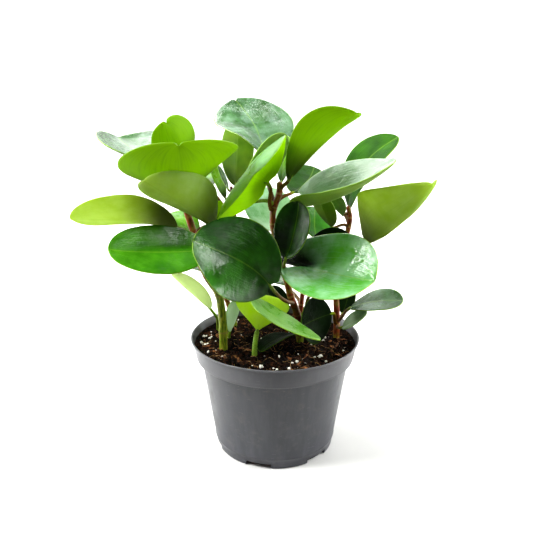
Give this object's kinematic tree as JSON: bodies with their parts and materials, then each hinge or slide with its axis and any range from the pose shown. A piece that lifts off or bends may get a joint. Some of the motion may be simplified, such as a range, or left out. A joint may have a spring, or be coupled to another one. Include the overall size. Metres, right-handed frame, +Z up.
{
  "type": "potted peperomia",
  "caption": "Potted peperomia: round, glossy green leaves on fleshy stems in soil, in a round dark grey plastic nursery pot.",
  "frame": {"origin": "centre of the pot's flat underside, where it stands", "axes": "+Z up along the pot's axis, -Y towards the front of the plant, +X to its right seen from the front"},
  "size_m": [0.292, 0.2261, 0.3096],
  "materials": {
    "pot": "satin",
    "soil": "matte",
    "stem": "satin",
    "leaf_dark": "gloss",
    "leaf_fresh": "satin",
    "leaf_pale": "gloss",
    "leaf_deep": "gloss"
  },
  "bodies": {
    "root": {"stem_left": "stem", "stem_middle": "stem", "stem_right": "stem", "stem_back_left": "stem", "stem_back_right": "stem", "stem_far_back": "stem", "leaf_far_left": "leaf_pale", "leaf_top_left_small": "leaf_fresh", "leaf_near_left_top": "leaf_fresh", "leaf_near_left_mid": "leaf_fresh", "leaf_left_low_lime": "leaf_fresh", "leaf_left_dark": "leaf_dark", "leaf_front_round": "leaf_dark", "leaf_front_small_dark": "leaf_deep", "leaf_right_glossy": "leaf_dark", "leaf_right_pale": "leaf_pale", "leaf_top_lime": "leaf_fresh", "leaf_top_blue": "leaf_pale", "leaf_centre_lime": "leaf_fresh", "leaf_centre_pale": "leaf_pale", "leaf_narrow_top": "leaf_fresh", "leaf_right_top_back": "leaf_dark", "leaf_behind_crescent": "leaf_deep", "leaf_right_dark": "leaf_dark", "leaf_right_olive": "leaf_fresh", "leaf_right_back_small": "leaf_dark", "leaf_right_back_olive": "leaf_fresh", "leaf_low_right_grey": "leaf_pale", "leaf_low_right_dark": "leaf_deep", "leaf_low_dark_round": "leaf_deep", "leaf_low_small_dark": "leaf_deep", "leaf_low_front_green": "leaf_fresh", "leaf_low_front_lime": "leaf_fresh", "leaf_low_left_lime": "leaf_fresh", "leaf_low_grey": "leaf_pale", "leaf_low_shadow_left": "leaf_deep", "leaf_low_shadow_front": "leaf_deep", "leaf_left_stub": "leaf_fresh", "leaf_top_lime_behind": "leaf_fresh", "leaf_back_left_blue": "leaf_fresh", "leaf_back_left_narrow": "leaf_pale", "leaf_left_behind_lime": "leaf_fresh", "leaf_centre_back_blue": "leaf_pale", "leaf_right_of_centre_back": "leaf_dark", "leaf_behind_glossy": "leaf_dark", "leaf_rear_low_left": "leaf_dark", "leaf_rear_left": "leaf_dark", "leaf_rear_middle": "leaf_dark", "leaf_rear_low_middle": "leaf_dark", "leaf_rear_low_right": "leaf_dark", "leaf_rear_right": "leaf_dark", "leaf_rear_high_left": "leaf_fresh", "leaf_rear_high_right": "leaf_fresh", "soil": "soil", "pot": "pot"}
  },
  "joints": []
}
